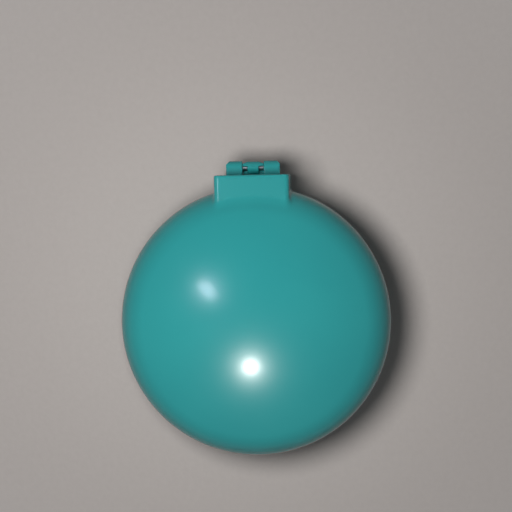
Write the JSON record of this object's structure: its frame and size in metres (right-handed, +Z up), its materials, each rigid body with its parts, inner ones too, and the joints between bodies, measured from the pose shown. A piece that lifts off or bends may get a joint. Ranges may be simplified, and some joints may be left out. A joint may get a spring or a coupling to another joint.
{
  "type": "compact mirror with pop-up brush",
  "caption": "Round domed compact case with a mirror lid on a square hinge tab, a cushioned pin brush that rises from the lower half, and a push button in its back.",
  "frame": {"origin": "on the surface that the closed case lies on, under the middle of its whole outline, hinge included", "axes": "+Z up from the resting face to the crown of the mirror half, +Y towards the hinge, +X to the right seen from above with the hinge at the back"},
  "size_m": [0.066, 0.0722, 0.0325],
  "materials": {
    "teal_shell": "smooth satin gloss",
    "teal_ring": "satin",
    "teal_button": "satin",
    "pin_steel": "drawn",
    "clear_glass": "polished",
    "silvering": "silvered",
    "foam_tape": "closed-cell foam",
    "black_plastic": "moulded",
    "black_nylon": "moulded nylon",
    "black_rubber": "smooth rubber"
  },
  "bodies": {
    "base": {"base_cover": "teal_shell", "base_frame": "teal_ring", "hinge_pin": "pin_steel"},
    "lid": {"lid_cover": "teal_shell", "lid_frame": "teal_ring", "mirror_glass": "clear_glass", "mirror_silvering": "silvering", "mirror_tape": "foam_tape"},
    "brush": {"push_button": "teal_button", "brush_carrier": "black_plastic", "brush_pins": "black_nylon", "brush_cushion": "black_rubber"}
  },
  "joints": [
    {"name": "lid_hinge", "type": "hinge", "parent": "base", "child": "lid", "pos_m": [0, 0.0344, 0.0163], "axis": [-1, 0, 0], "range_deg": [0, 180]},
    {"name": "brush_pop", "type": "slide", "parent": "base", "child": "brush", "axis": [0, 0, 1], "range_m": [0, 0.00905]}
  ],
  "couplings": [
    {"joint": "brush_pop", "follows": "lid_hinge", "m_per_rad": 0.0028648}
  ]
}
